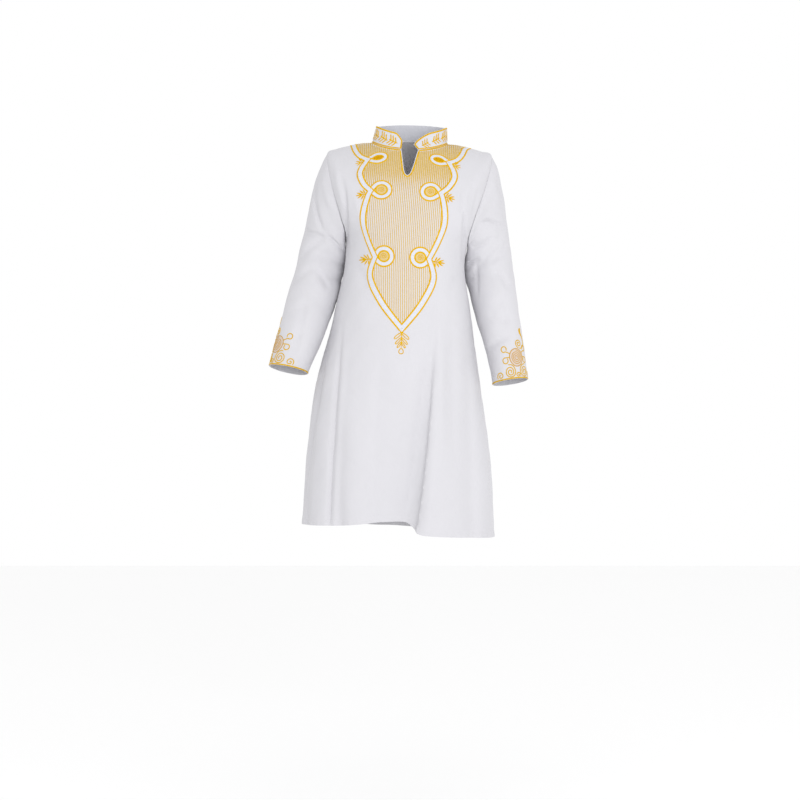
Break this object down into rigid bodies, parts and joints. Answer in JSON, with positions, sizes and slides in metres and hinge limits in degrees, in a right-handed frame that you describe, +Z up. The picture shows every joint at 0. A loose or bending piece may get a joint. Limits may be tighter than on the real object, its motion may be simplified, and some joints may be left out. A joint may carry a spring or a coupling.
{
  "type": "dashiki dress",
  "caption": "Knee-length A-line tunic dress with a stand collar, neck slit and long set-in sleeves, worn and hollow, embroidered on front, collar and cuffs.",
  "frame": {"origin": "between the shoulders of the wearer who holds the dress up, in the plane of the shoulder seams, just below the collar's seam at the neck", "axes": "+Z up, -Y the way the front faces, +X towards the wearer's left side"},
  "size_m": [0.5834, 0.3198, 0.9452],
  "materials": {
    "white_cloth": "plain woven cotton blend, matt with a faint sheen",
    "collar_cloth": "interfaced woven cotton blend, matt",
    "gold_thread": "satin-stitched rayon thread, silky",
    "white_thread": "satin-stitched rayon thread, silky"
  },
  "bodies": {
    "root": {"front": "white_cloth", "back": "white_cloth", "sleeve_right": "white_cloth", "sleeve_left": "white_cloth", "collar": "collar_cloth"}
  },
  "joints": []
}
